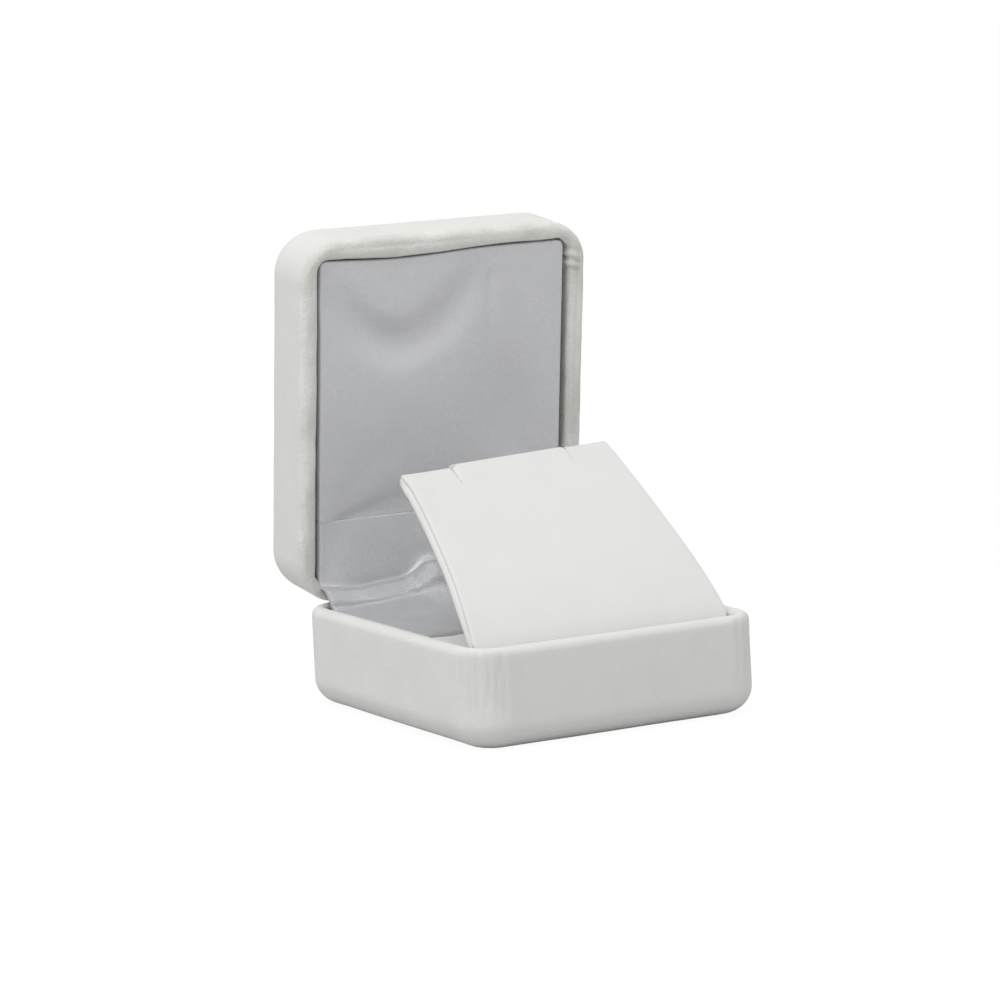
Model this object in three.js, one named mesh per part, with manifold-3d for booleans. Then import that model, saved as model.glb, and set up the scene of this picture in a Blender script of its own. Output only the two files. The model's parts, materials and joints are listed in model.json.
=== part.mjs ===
// A hinged jewelry gift box with a fold-down display flap.
// Two leatherette-wrapped trays meet on a small spring hinge at the back. The lid carries a padded
// satin liner, the base a covered foam pad, and a leatherette flap with two chain slits stands in
// front of the pad. The box is modelled open, as it stands on display.
// Millimetres, +Z up, -Y to the front, origin at the middle of the base's underside.
import * as THREE from "three";
import { mergeVertices } from "three/addons/utils/BufferGeometryUtils.js";
import Module from "manifold-3d";

// Overall sizes
const boxWidth = 54;
const boxDepth = 62.5;
const baseHeight = 16.5;
const lidHeight = 16;
const rimGap = 0.3;
const openAngle = THREE.MathUtils.degToRad(82.5);

// Rounding of the two trays
const baseCornerRadius = 6.8;
const baseEdgeRadius = 4.5;
const lidCornerRadius = 7.3;
const lidEdgeRadius = 6.4;
const rimRoundness = 1.4;
const mouthCornerRadius = 3.4;

// Wall make-up, from the outside in: cover, shell, cover turned in over the rim
const coverThickness = 0.7;
const shellWall = 1.0;
const clearance = 0.3;
const baseTurnInPastPad = 1.4;
const lidTurnInDepth = 5;

// Hinge
const hingeWidth = 29;
const knuckleCount = 5;
const barrelRadius = 1.0;
const pinRadius = 0.4;
const leafThickness = 0.5;
const leafLength = 8.3;
const pivotInset = 1.05;
const pivotRise = 0.65;
const notchDepth = 0.55;
const rivetSpacing = 20;
const rivetRadius = 0.6;
const rivetHeadRadius = 1.3;
const rivetHeadThickness = 0.5;
const rivetDrop = 6.1;

// Snap springs beside the hinge
const springHingeGap = 1.6;
const springWidth = 4;
const springThickness = 0.4;
const springBend = 1.0;
const springTopDrop = 1.3;
const springLeg = 8;
const springTail = 3.2;

// Pad in the base
const padTop = 12.9;
const padCoverThickness = 0.5;
const padCardThickness = 0.8;
const padSideGap = 0.6;
const padFrontGap = 4.1;
const padBackGap = 22.05;
const padSkirt = 5.9;

// Satin that fills the well behind the pad
const gussetSideGap = 0.8;
const gussetFloorGap = 0.6;
const gussetPadDrop = 0.4;
const gussetRimDrop = 1;
const gussetTipGap = 0.6;
const gussetStepLength = 2;

// Display flap
const flapBackGap = 13.35;
const flapFootInset = 1.7;
const flapShoulderInset = 0.5;
const flapTipInset = 4.7;
const flapShoulderRise = 4;
const flapCoverThickness = 0.6;
const flapCardThickness = 0.6;
const flapRestAngle = THREE.MathUtils.degToRad(41.5);
const flapAxisInset = 1.65;
const flapAxisRise = 0.9;
const flapBow = 3.2;
const flapTipCorner = 1;
const slitSpacing = 20.2;
const slitLength = 4.3;
const slitWidth = 0.5;
const hingeStripThickness = 0.4;
const hingeStripHeight = 6.6;
const hingeStripAxisDrop = 0.9;
const hingeStripSideInset = 2;

// Lid liner
const linerRecess = 0.7;
const linerEdgeGap = 0.6;
const linerBackGap = 0.95;
const linerCornerRadius = 2.4;
const satinThickness = 0.4;
const waddingThickness = 2.5;
const linerCardThickness = 0.8;
const gussetPanelLength = 9.8;

// Heights and faces that several pieces share
const wallStack = 2 * coverThickness + shellWall + 2 * clearance;
const rimRadius = Math.min(rimRoundness, wallStack / 2 - 0.1);
const halfWidth = boxWidth / 2;
const halfDepth = boxDepth / 2;
const innerHalfWidth = halfWidth - wallStack;
const innerHalfDepth = halfDepth - wallStack;
const shellInset = coverThickness + clearance;
const shellInner = shellInset + shellWall;
const floorTop = shellInner + clearance;
const lidRim = baseHeight + rimGap;
const closedHeight = lidRim + lidHeight;
const baseTurnInDepth = baseHeight - padTop + baseTurnInPastPad;
const pivotY = halfDepth - pivotInset;
const pivotZ = baseHeight + rimGap / 2 + pivotRise;
const leafBack = halfDepth - shellInner - clearance;
const leafFront = leafBack - leafThickness;
const flapAxisY = -innerHalfDepth + flapAxisInset;
const flapAxisZ = padTop + flapAxisRise;
const flapThickness = 2 * flapCoverThickness + flapCardThickness + 2 * clearance;
const flapLength = innerHalfDepth - flapBackGap - flapAxisY;
const padFront = flapAxisY + padFrontGap;
const padBack = innerHalfDepth - padBackGap;

// Longer than anything in the box, for a cut that passes right through
const far = boxWidth + boxDepth + closedHeight;

// Shares of the flap's length at which its back layer and its card begin
const flapBackStart = 0.07;
const flapCardStart = 0.09;

// Smoothness of the round stretches
const cornerSteps = 5;
const edgeSteps = 4;
const curveSteps = 12;
const foldSteps = 6;
const roundSteps = 12;

const wasm = await Module();
wasm.setup();

// ---------------------------------------------------------------- solids

function toSolid(geometry) {
  const bare = geometry.clone();
  bare.deleteAttribute("normal");
  bare.deleteAttribute("uv");
  const merged = mergeVertices(bare, 1e-4);
  return new wasm.Manifold(new wasm.Mesh({
    numProp: 3,
    vertProperties: new Float32Array(merged.attributes.position.array),
    triVerts: new Uint32Array(merged.index.array),
  }));
}

function toGeometry(solid) {
  const mesh = solid.getMesh();
  const geometry = new THREE.BufferGeometry();
  geometry.setAttribute("position", new THREE.BufferAttribute(new Float32Array(mesh.vertProperties), 3));
  geometry.setIndex(new THREE.BufferAttribute(new Uint32Array(mesh.triVerts), 1));
  const flat = geometry.toNonIndexed();
  flat.computeVertexNormals();
  return flat;
}

// A box given by its lowest and highest corners.
function block(low, high) {
  const geometry = new THREE.BoxGeometry(high[0] - low[0], high[1] - low[1], high[2] - low[2]);
  geometry.translate((low[0] + high[0]) / 2, (low[1] + high[1]) / 2, (low[2] + high[2]) / 2);
  return toSolid(geometry);
}

// A rectangle with round corners, centred on the origin.
function roundedRectangle(width, depth, radius) {
  const x = width / 2 - radius;
  const y = depth / 2 - radius;
  const shape = new THREE.Shape();
  shape.absarc(x, -y, radius, -Math.PI / 2, 0);
  shape.absarc(x, y, radius, 0, Math.PI / 2);
  shape.absarc(-x, y, radius, Math.PI / 2, Math.PI);
  shape.absarc(-x, -y, radius, Math.PI, 1.5 * Math.PI);
  return shape;
}

// A block with round vertical corners and a round lower edge, standing on z = bottom.
function trayBlock(inset, cornerRadius, edgeRadius, bottom, top) {
  const edge = Math.max(edgeRadius - inset, 0.4);
  const corner = Math.max(cornerRadius - inset, edge + 0.3);
  const outline = roundedRectangle(boxWidth - 2 * (inset + edge), boxDepth - 2 * (inset + edge), corner - edge);
  const geometry = new THREE.ExtrudeGeometry(outline, {
    depth: far,
    bevelThickness: edge,
    bevelSize: edge,
    bevelSegments: edgeSteps,
    curveSegments: cornerSteps,
  });
  geometry.translate(0, 0, bottom + edge);
  return toSolid(geometry).intersect(block([-far, -far, bottom - 1], [far, far, top]));
}

// An upright prism with round vertical corners.
function prism(inset, cornerRadius, bottom, top) {
  const outline = roundedRectangle(boxWidth - 2 * inset, boxDepth - 2 * inset, Math.max(cornerRadius - inset, 0.5));
  const geometry = new THREE.ExtrudeGeometry(outline, {
    depth: top - bottom,
    bevelEnabled: false,
    curveSegments: cornerSteps,
  });
  geometry.translate(0, 0, bottom);
  return toSolid(geometry);
}

// An outline raised to z = top, its upper edges rounded, those of its holes too.
function softTop(outline, bottom, top) {
  const geometry = new THREE.ExtrudeGeometry(outline, {
    depth: top - bottom,
    bevelThickness: rimRadius,
    bevelSize: rimRadius,
    bevelSegments: edgeSteps,
    curveSegments: cornerSteps,
  });
  geometry.translate(0, 0, bottom - rimRadius);
  return toSolid(geometry).intersect(block([-far, -far, bottom], [far, far, far]));
}

// The top of the wall as one ring, its rim rounded inside and out.
function rimRing(cornerRadius, bottom, top) {
  const inset = wallStack - rimRadius;
  const outer = roundedRectangle(boxWidth - 2 * rimRadius, boxDepth - 2 * rimRadius, cornerRadius - rimRadius);
  const around = roundedRectangle(far, far, 1);
  around.holes.push(roundedRectangle(boxWidth - 2 * inset, boxDepth - 2 * inset, mouthCornerRadius + rimRadius));
  return softTop(around, bottom, top).intersect(softTop(outer, bottom, top));
}

// A closed outline in the (y, z) plane, extruded along x and centred on x = middle.
function alongX(outline, width, middle = 0) {
  const geometry = new THREE.ExtrudeGeometry(outline, {
    depth: width,
    bevelEnabled: false,
    curveSegments: cornerSteps,
  });
  geometry.translate(0, 0, middle - width / 2);
  const turn = new THREE.Matrix4().makeBasis(
    new THREE.Vector3(0, 1, 0),
    new THREE.Vector3(0, 0, 1),
    new THREE.Vector3(1, 0, 0),
  );
  return toSolid(geometry.applyMatrix4(turn));
}

// A round bar along x or y, given by its radius, its axis and its two ends.
function bar(radius, along, ends, centre) {
  const geometry = new THREE.CylinderGeometry(radius, radius, ends[1] - ends[0], roundSteps);
  const middle = (ends[0] + ends[1]) / 2;
  if (along === "x") {
    geometry.rotateZ(Math.PI / 2);
    geometry.translate(middle, centre[0], centre[1]);
  } else {
    geometry.translate(centre[0], middle, centre[1]);
  }
  return toSolid(geometry);
}

function named(name, solid, color, roughness, metalness = 0) {
  const material = new THREE.MeshStandardMaterial({ color, roughness, metalness });
  const mesh = new THREE.Mesh(toGeometry(solid), material);
  mesh.name = name;
  return mesh;
}

// ---------------------------------------------------------------- trays

// Space that the hinge takes out of a wall. A tray is drawn closed face down, rim up, and
// side is +1 where the hinge is at its +Y wall and -1 where it is at its -Y wall.
// barrelDrop is the depth of the notch floor below the rim.
function hingeNotch(side, rim, barrelDrop, leafDrop) {
  const reach = hingeWidth / 2 + clearance;
  const span = (from, to) => (side > 0 ? [from, to] : [-to, -from]);
  const slot = span(innerHalfDepth - 1, halfDepth + 1);
  const pocket = span(innerHalfDepth - 1, halfDepth - shellInner - 0.1);
  const notch = block([-reach, slot[0], rim - barrelDrop], [reach, slot[1], rim + 1]);
  return notch.add(block([-reach, pocket[0], rim - leafDrop], [reach, pocket[1], rim + 1]));
}

// Leatherette wrapped over the tray and turned in over its rim.
function trayCover(height, cornerRadius, edgeRadius, turnInDepth, notch) {
  const legTop = height - rimRadius - 0.5;
  const cup = trayBlock(0, cornerRadius, edgeRadius, 0, legTop)
    .subtract(trayBlock(coverThickness, cornerRadius, edgeRadius, coverThickness, far));
  const channelOuter = prism(coverThickness, cornerRadius, -1, height - coverThickness);
  const channelInner = prism(wallStack - coverThickness, cornerRadius, -2, height);
  const rim = rimRing(cornerRadius, height - turnInDepth, height)
    .subtract(channelOuter.subtract(channelInner));
  return cup.add(rim).subtract(notch);
}

// Moulded shell inside the cover.
function trayShell(height, cornerRadius, edgeRadius, notch) {
  const top = height - coverThickness - clearance;
  return trayBlock(shellInset, cornerRadius, edgeRadius, shellInset, top)
    .subtract(trayBlock(shellInner, cornerRadius, edgeRadius, shellInner, far))
    .subtract(notch);
}

// ---------------------------------------------------------------- hinge

const knucklePitch = hingeWidth / knuckleCount;
const boreRadius = pinRadius + clearance;

function knuckleEnds(index) {
  const start = -hingeWidth / 2 + index * knucklePitch;
  return [start + clearance / 2, start + knucklePitch - clearance / 2];
}

// One leaf: a plate against the shell, an arm over its edge and every second knuckle.
// up is -1 for the base leaf, below the barrel, and +1 for the lid leaf above it.
function hingeLeaf(up, firstKnuckle) {
  const z = (near, out) => {
    const a = pivotZ + up * near;
    const b = pivotZ + up * out;
    return [Math.min(a, b), Math.max(a, b)];
  };
  const plateZ = z(barrelRadius - leafThickness, leafLength);
  const armZ = z(barrelRadius - leafThickness, barrelRadius);
  let leaf = block([-hingeWidth / 2, leafFront, plateZ[0]], [hingeWidth / 2, leafBack, plateZ[1]]);
  for (let index = firstKnuckle; index < knuckleCount; index += 2) {
    const ends = knuckleEnds(index);
    leaf = leaf
      .add(block([ends[0], leafFront, armZ[0]], [ends[1], pivotY, armZ[1]]))
      .add(bar(barrelRadius, "x", ends, [pivotY, pivotZ]));
  }
  leaf = leaf.subtract(bar(boreRadius, "x", [-hingeWidth, hingeWidth], [pivotY, pivotZ]));
  return leaf.subtract(rivetHoles(up));
}

function hingePin() {
  return bar(pinRadius, "x", [-hingeWidth / 2, hingeWidth / 2], [pivotY, pivotZ]);
}

function rivetHoles(up) {
  const z = pivotZ + up * rivetDrop;
  const ends = [leafFront - 1, halfDepth - shellInset + 0.1];
  const hole = (x) => bar(rivetRadius + clearance, "y", ends, [x, z]);
  return hole(-rivetSpacing / 2).add(hole(rivetSpacing / 2));
}

// A rivet through the leaf, clinched inside the thickness of the shell wall.
function rivet(up, x) {
  const z = pivotZ + up * rivetDrop;
  const headBack = leafFront - clearance;
  const head = bar(rivetHeadRadius, "y", [headBack - rivetHeadThickness, headBack], [x, z]);
  return head.add(bar(rivetRadius, "y", [headBack - 0.1, leafBack + clearance + shellWall / 2], [x, z]));
}

// A strip bent over at the top, standing against the turned-in cover beside the leaf.
function snapSpring(side) {
  const back = innerHalfDepth - clearance;
  const bendTop = baseHeight - springTopDrop;
  const centreY = back - springBend;
  const centreZ = bendTop - springBend;
  const inner = springBend - springThickness;
  const outline = new THREE.Shape();
  outline.moveTo(back, centreZ - springLeg);
  outline.absarc(centreY, centreZ, springBend, 0, Math.PI);
  outline.lineTo(centreY - springBend, centreZ - springTail);
  outline.lineTo(centreY - inner, centreZ - springTail);
  outline.absarc(centreY, centreZ, inner, Math.PI, 0, true);
  outline.lineTo(back - springThickness, centreZ - springLeg);
  outline.closePath();
  const middle = side * (hingeWidth / 2 + springHingeGap + springWidth / 2);
  return alongX(outline, springWidth, middle);
}

// ---------------------------------------------------------------- pad

const padHalfWidth = innerHalfWidth - padSideGap;
const padSheetBottom = padTop - padCoverThickness;
const cardTop = padSheetBottom - clearance;
const foamTop = cardTop - padCardThickness - clearance;
const fillInset = padCoverThickness + clearance;

function padBox(inset, bottom, top) {
  return block([-padHalfWidth + inset, padFront + inset, bottom], [padHalfWidth - inset, padBack - inset, top]);
}

function padCover() {
  return padBox(0, padTop - padSkirt, padTop).subtract(padBox(padCoverThickness, -1, padSheetBottom));
}

// The satin that fills the well behind the pad, low enough for the folded flap.
function gussetFold() {
  const front = padBack + clearance;
  const back = innerHalfDepth - 2 * springBend - 3 * clearance;
  const low = padTop - gussetPadDrop;
  const high = baseHeight - gussetRimDrop;
  const bottom = floorTop + gussetFloorGap;
  const step = flapAxisY + flapLength + gussetTipGap;
  const outline = new THREE.Shape();
  outline.moveTo(front, bottom);
  outline.lineTo(back, bottom);
  outline.lineTo(back, high);
  outline.lineTo(step + gussetStepLength, high);
  outline.quadraticCurveTo(step, high, step - gussetStepLength / 2, low);
  outline.lineTo(front, low);
  outline.closePath();
  return alongX(outline, 2 * (padHalfWidth - gussetSideGap));
}

// ---------------------------------------------------------------- flap

// The flap lies in its own frame: y runs from the fold line to the tip, z out of the front face.
const flapFace = new THREE.CubicBezierCurve(
  new THREE.Vector2(0, 0),
  new THREE.Vector2(0.12 * flapLength, flapBow),
  new THREE.Vector2(0.5 * flapLength, 0.91 * flapBow),
  new THREE.Vector2(flapLength, 0),
);

// A point on the flap's front face, moved in by depth and on past the tip by reach.
function flapPoint(t, depth, reach = 0) {
  const point = flapFace.getPoint(t);
  const tangent = flapFace.getTangent(t);
  return new THREE.Vector2(
    point.x + tangent.y * depth + tangent.x * reach,
    point.y - tangent.x * depth + tangent.y * reach,
  );
}

function flapLayer(depths, from, to) {
  const points = [];
  for (let i = 0; i <= curveSteps; i += 1) {
    points.push(flapPoint(from + ((to - from) * i) / curveSteps, depths[0]));
  }
  for (let i = curveSteps; i >= 0; i -= 1) {
    points.push(flapPoint(from + ((to - from) * i) / curveSteps, depths[1]));
  }
  return new THREE.Shape(points);
}

// The fold at the tip, a half round between two depths.
function flapFold(points, t, depths, backwards) {
  const radius = (depths[1] - depths[0]) / 2;
  for (let i = 1; i < foldSteps; i += 1) {
    const angle = (Math.PI * (backwards ? foldSteps - i : i)) / foldSteps;
    const depth = depths[0] + radius - radius * Math.cos(angle);
    points.push(flapPoint(t, depth, radius * Math.sin(angle)));
  }
}

function flapCoverProfile() {
  const tip = 1 - flapThickness / 2 / flapLength;
  const outer = [0, flapThickness];
  const inner = [flapCoverThickness, flapThickness - flapCoverThickness];
  const points = [];
  for (let i = 0; i <= curveSteps; i += 1) {
    points.push(flapPoint((tip * i) / curveSteps, outer[0]));
  }
  flapFold(points, tip, outer, false);
  for (let i = curveSteps; i >= 0; i -= 1) {
    points.push(flapPoint(flapBackStart + ((tip - flapBackStart) * i) / curveSteps, outer[1]));
  }
  for (let i = 0; i <= curveSteps; i += 1) {
    points.push(flapPoint(flapBackStart + ((tip - flapBackStart) * i) / curveSteps, inner[1]));
  }
  flapFold(points, tip, inner, true);
  for (let i = curveSteps; i >= 0; i -= 1) {
    points.push(flapPoint((tip * i) / curveSteps, inner[0]));
  }
  return new THREE.Shape(points);
}

// The flap's outline seen square to it, drawn in (x, y).
function flapOutline(inset) {
  const foot = innerHalfWidth - flapFootInset - inset;
  const shoulder = innerHalfWidth - flapShoulderInset - inset;
  const tip = innerHalfWidth - flapTipInset - inset;
  const outline = new THREE.Shape();
  outline.moveTo(-foot, -flapThickness);
  outline.lineTo(foot, -flapThickness);
  outline.lineTo(foot, 0);
  outline.lineTo(shoulder, flapShoulderRise);
  outline.lineTo(tip, flapLength - flapTipCorner);
  outline.quadraticCurveTo(tip, flapLength, tip - flapTipCorner, flapLength);
  outline.lineTo(-tip + flapTipCorner, flapLength);
  outline.quadraticCurveTo(-tip, flapLength, -tip, flapLength - flapTipCorner);
  outline.lineTo(-shoulder, flapShoulderRise);
  outline.lineTo(-foot, 0);
  outline.closePath();
  const geometry = new THREE.ExtrudeGeometry(outline, {
    depth: 4 * flapThickness + 2 * flapBow,
    bevelEnabled: false,
    curveSegments: 3,
  });
  geometry.translate(0, 0, -2 * flapThickness);
  return toSolid(geometry);
}

function chainSlits() {
  const slit = (x) => block(
    [x - slitWidth / 2, flapLength - slitLength, -2 * flapThickness],
    [x + slitWidth / 2, flapLength + 1, 2 * flapThickness],
  );
  return slit(-slitSpacing / 2).add(slit(slitSpacing / 2));
}

function flapCover() {
  return alongX(flapCoverProfile(), boxWidth).intersect(flapOutline(0)).subtract(chainSlits());
}

function flapCard() {
  const depths = [flapCoverThickness + clearance, flapThickness - flapCoverThickness - clearance];
  const tip = 1 - (flapThickness / 2 + clearance) / flapLength;
  return alongX(flapLayer(depths, flapCardStart, tip), boxWidth)
    .intersect(flapOutline(clearance))
    .subtract(chainSlits());
}

function flapHingeStrip() {
  const front = -innerHalfDepth + clearance;
  const top = flapAxisZ - hingeStripAxisDrop;
  const reach = innerHalfWidth - flapFootInset - hingeStripSideInset;
  return block([-reach, front, top - hingeStripHeight], [reach, front + hingeStripThickness, top]);
}

// ---------------------------------------------------------------- lid liner

const linerHalfWidth = innerHalfWidth - linerEdgeGap;
const linerFront = -innerHalfDepth + linerEdgeGap;
const linerBack = innerHalfDepth - linerBackGap;
const satinLow = lidRim + linerRecess;
const waddingLow = satinLow + satinThickness + clearance;
const linerCardLow = waddingLow + waddingThickness + clearance;
const linerTop = linerCardLow + linerCardThickness;
const satinEnd = linerBack - gussetPanelLength - clearance;
const linerFill = satinThickness + clearance;

function linerSlab(inset, bottom, top) {
  const width = 2 * (linerHalfWidth - inset);
  const depth = linerBack - linerFront - 2 * inset;
  const outline = roundedRectangle(width, depth, linerCornerRadius - inset);
  const geometry = new THREE.ExtrudeGeometry(outline, {
    depth: top - bottom,
    bevelEnabled: false,
    curveSegments: cornerSteps,
  });
  geometry.translate(0, (linerFront + linerBack) / 2, bottom);
  return toSolid(geometry);
}

// Satin face with its edges turned back round the wadding and the card.
function linerSatin() {
  return linerSlab(0, satinLow, linerTop)
    .subtract(linerSlab(satinThickness, satinLow + satinThickness, linerTop + 1))
    .subtract(block([-halfWidth, satinEnd, satinLow - 1], [halfWidth, halfDepth, linerTop + 2]));
}

// The lower satin panel, from the crease to the hinge.
function gussetPanel() {
  const upper = block([-halfWidth, -halfDepth, satinLow - 1], [halfWidth, satinEnd + clearance, linerTop]);
  return linerSlab(0, satinLow, satinLow + satinThickness).subtract(upper);
}

// ---------------------------------------------------------------- assembly

const leatherette = 0xecebe6;
const rawShell = 0xd9d6cf;
const steel = 0xb9babd;
const satin = 0xb4b6ba;
const card = 0xcfc9bd;
const foam = 0xe6e2d6;

const baseBarrelDrop = baseHeight - pivotZ + barrelRadius + notchDepth;
const lidBarrelDrop = pivotZ - lidRim + barrelRadius + notchDepth;
const baseNotch = hingeNotch(1, baseHeight, baseBarrelDrop, pivotRise + leafLength);
const lidNotch = hingeNotch(-1, lidHeight, lidBarrelDrop, pivotRise + leafLength + 2 * clearance);
const lidRivetHoles = rivetHoles(1).rotate([180, 0, 0]).translate([0, 0, closedHeight]);
const baseCover = trayCover(baseHeight, baseCornerRadius, baseEdgeRadius, baseTurnInDepth, baseNotch);
const baseShell = trayShell(baseHeight, baseCornerRadius, baseEdgeRadius, baseNotch).subtract(rivetHoles(-1));
const lidCover = trayCover(lidHeight, lidCornerRadius, lidEdgeRadius, lidTurnInDepth, lidNotch);
const lidShell = trayShell(lidHeight, lidCornerRadius, lidEdgeRadius, lidNotch).subtract(lidRivetHoles);

const group = new THREE.Group();

// Fixed pieces of the base
group.add(
  named("base_cover", baseCover, leatherette, 0.75),
  named("base_shell", baseShell, rawShell, 0.5),
  named("base_foam", padBox(fillInset, floorTop, foamTop), foam, 0.95),
  named("pad_card", padBox(fillInset, foamTop + clearance, cardTop), card, 0.9),
  named("pad_cover", padCover(), 0xe4e4e2, 0.9),
  named("gusset_fold", gussetFold(), satin, 0.35),
  named("flap_hinge_strip", flapHingeStrip(), leatherette, 0.8),
  named("hinge_base_leaf", hingeLeaf(-1, 0), steel, 0.35, 1),
  named("hinge_pin", hingePin(), steel, 0.3, 1),
  named("base_rivet_left", rivet(-1, -rivetSpacing / 2), steel, 0.4, 1),
  named("base_rivet_right", rivet(-1, rivetSpacing / 2), steel, 0.4, 1),
  named("snap_spring_left", snapSpring(-1), steel, 0.3, 1),
  named("snap_spring_right", snapSpring(1), steel, 0.3, 1),
);

// The lid turns about the hinge pin. Its pieces are drawn as they lie with the box closed.
const lidTurn = new THREE.Group();
lidTurn.position.set(0, pivotY, pivotZ);
lidTurn.rotation.x = -openAngle;
const lidClosed = new THREE.Group();
lidClosed.position.set(0, -pivotY, -pivotZ);
lidTurn.add(lidClosed);

// The two lid trays are drawn crown down and turned over.
const lidTray = new THREE.Group();
lidTray.rotation.x = Math.PI;
lidTray.position.z = closedHeight;
lidTray.add(
  named("lid_cover", lidCover, leatherette, 0.75),
  named("lid_shell", lidShell, rawShell, 0.5),
);
lidClosed.add(
  lidTray,
  named("lid_liner_satin", linerSatin(), satin, 0.35),
  named("gusset_panel", gussetPanel(), satin, 0.35),
  named("lid_liner_wadding", linerSlab(linerFill, waddingLow, waddingLow + waddingThickness), foam, 0.95),
  named("lid_liner_card", linerSlab(linerFill, linerCardLow, linerTop), card, 0.9),
  named("hinge_lid_leaf", hingeLeaf(1, 1), steel, 0.35, 1),
  named("lid_rivet_left", rivet(1, -rivetSpacing / 2), steel, 0.4, 1),
  named("lid_rivet_right", rivet(1, rivetSpacing / 2), steel, 0.4, 1),
);
group.add(lidTurn);

// The flap turns about its fold line at the front of the pad.
const flapTurn = new THREE.Group();
flapTurn.position.set(0, flapAxisY, flapAxisZ);
flapTurn.rotation.x = flapRestAngle;
flapTurn.add(
  named("flap_cover", flapCover(), leatherette, 0.7),
  named("flap_card", flapCard(), card, 0.9),
);
group.add(flapTurn);

export default group;
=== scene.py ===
import json
import math

import bmesh
import bpy
from mathutils import Matrix, Vector, noise


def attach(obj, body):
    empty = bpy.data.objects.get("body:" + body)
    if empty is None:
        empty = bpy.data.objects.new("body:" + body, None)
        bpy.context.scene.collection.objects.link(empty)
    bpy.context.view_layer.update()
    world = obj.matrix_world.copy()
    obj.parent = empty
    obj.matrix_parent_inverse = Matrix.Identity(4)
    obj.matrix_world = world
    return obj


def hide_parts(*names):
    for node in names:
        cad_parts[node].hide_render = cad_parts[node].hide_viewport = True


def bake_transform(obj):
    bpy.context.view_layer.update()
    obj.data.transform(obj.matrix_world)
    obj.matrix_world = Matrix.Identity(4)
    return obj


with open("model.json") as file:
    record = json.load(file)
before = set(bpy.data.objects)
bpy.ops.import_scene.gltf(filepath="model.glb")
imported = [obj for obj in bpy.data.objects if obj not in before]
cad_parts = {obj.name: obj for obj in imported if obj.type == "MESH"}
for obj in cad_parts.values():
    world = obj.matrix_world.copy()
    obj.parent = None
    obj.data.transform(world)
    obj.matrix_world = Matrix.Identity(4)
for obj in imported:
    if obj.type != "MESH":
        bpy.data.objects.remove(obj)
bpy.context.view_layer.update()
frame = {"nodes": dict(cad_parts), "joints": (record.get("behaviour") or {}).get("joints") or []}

# Lengths below are in millimetres and become metres where a mesh is made.
MM = 0.001


# ------------------------------------------------------------------ frame

def joint(name):
    for entry in frame["joints"]:
        if entry["name"] == name:
            return entry


def node_corners(name, matrix=Matrix.Identity(4)):
    """Lowest and highest corner of a CAD node in mm, after a turn."""
    points = [matrix @ v.co for v in frame["nodes"][name].data.vertices]
    low = [min(p[i] for p in points) / MM for i in range(3)]
    high = [max(p[i] for p in points) / MM for i in range(3)]
    return low, high


PIVOT = Vector(joint("lid_hinge")["pos_m"]) / MM
OPEN = math.radians(joint("lid_hinge")["range_deg"][1])
# From the closed lid to the open lid, in mm and in metres
LID_OPEN = Matrix.Translation(PIVOT) @ Matrix.Rotation(-OPEN, 4, "X") @ Matrix.Translation(-PIVOT)
LID_CLOSE_M = (Matrix.Translation(PIVOT * MM) @ Matrix.Rotation(OPEN, 4, "X")
               @ Matrix.Translation(-PIVOT * MM))
FLAP_AXIS = Vector(joint("flap_fold")["pos_m"]) / MM
FLAP_LEAN = math.radians(41.5)
FLAP_PLACE = Matrix.Translation(FLAP_AXIS) @ Matrix.Rotation(FLAP_LEAN, 4, "X")
FLAP_FLAT_M = (Matrix.Rotation(-FLAP_LEAN, 4, "X") @ Matrix.Translation(-FLAP_AXIS * MM))

base_low, base_high = node_corners("base_cover")
lid_low, lid_high = node_corners("lid_cover", LID_CLOSE_M)
pad_low, pad_high = node_corners("pad_cover")
satin_low, satin_high = node_corners("lid_liner_satin", LID_CLOSE_M)
_, flap_high = node_corners("flap_cover", FLAP_FLAT_M)
_, wadding_high = node_corners("lid_liner_wadding", LID_CLOSE_M)

BOX_WIDTH = base_high[0] - base_low[0]
BOX_DEPTH = base_high[1] - base_low[1]
BASE_HEIGHT = base_high[2]
LID_RIM = lid_low[2]
LID_TOP = lid_high[2]
WALL = 3.0


# ------------------------------------------------------------------ small helpers

def smooth(a, b, x):
    """0 at a, 1 at b, with soft ends. b may lie below a."""
    t = min(max((x - a) / (b - a), 0.0), 1.0)
    return t * t * (3 - 2 * t)


def mix(a, b, t):
    return a + (b - a) * t


def bell(x, centre, width):
    return math.exp(-((x - centre) / width) ** 2)


def lumps(x, y, z, size, seed=0.0):
    """Smooth noise from -1 to 1 whose features are about size mm wide."""
    return noise.noise(Vector((x / size + seed, y / size - seed, z / size + 0.37 * seed)))


def add_object(name, data):
    obj = bpy.data.objects.new(name, data)
    bpy.context.scene.collection.objects.link(obj)
    return obj


def make_object(name, verts, faces, body, materials, matrix=Matrix.Identity(4), smooth_shade=True):
    mesh = bpy.data.meshes.new(name)
    mesh.from_pydata([tuple((matrix @ Vector(v)) * MM) for v in verts], [], faces)
    mesh.validate()
    for material in materials:
        mesh.materials.append(material)
    if smooth_shade:
        mesh.polygons.foreach_set("use_smooth", [True] * len(mesh.polygons))
    obj = add_object(name, mesh)
    tidy_normals(obj)
    if body:
        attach(obj, body)
    return obj


def tidy_normals(obj):
    bm = bmesh.new()
    bm.from_mesh(obj.data)
    bmesh.ops.recalc_face_normals(bm, faces=bm.faces)
    bm.to_mesh(obj.data)
    bm.free()


def grid_faces(rows, cols, closed_cols=False, start=0):
    faces = []
    for i in range(rows - 1):
        for j in range(cols if closed_cols else cols - 1):
            k = (j + 1) % cols
            faces.append((start + i * cols + j, start + i * cols + k,
                          start + (i + 1) * cols + k, start + (i + 1) * cols + j))
    return faces


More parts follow.
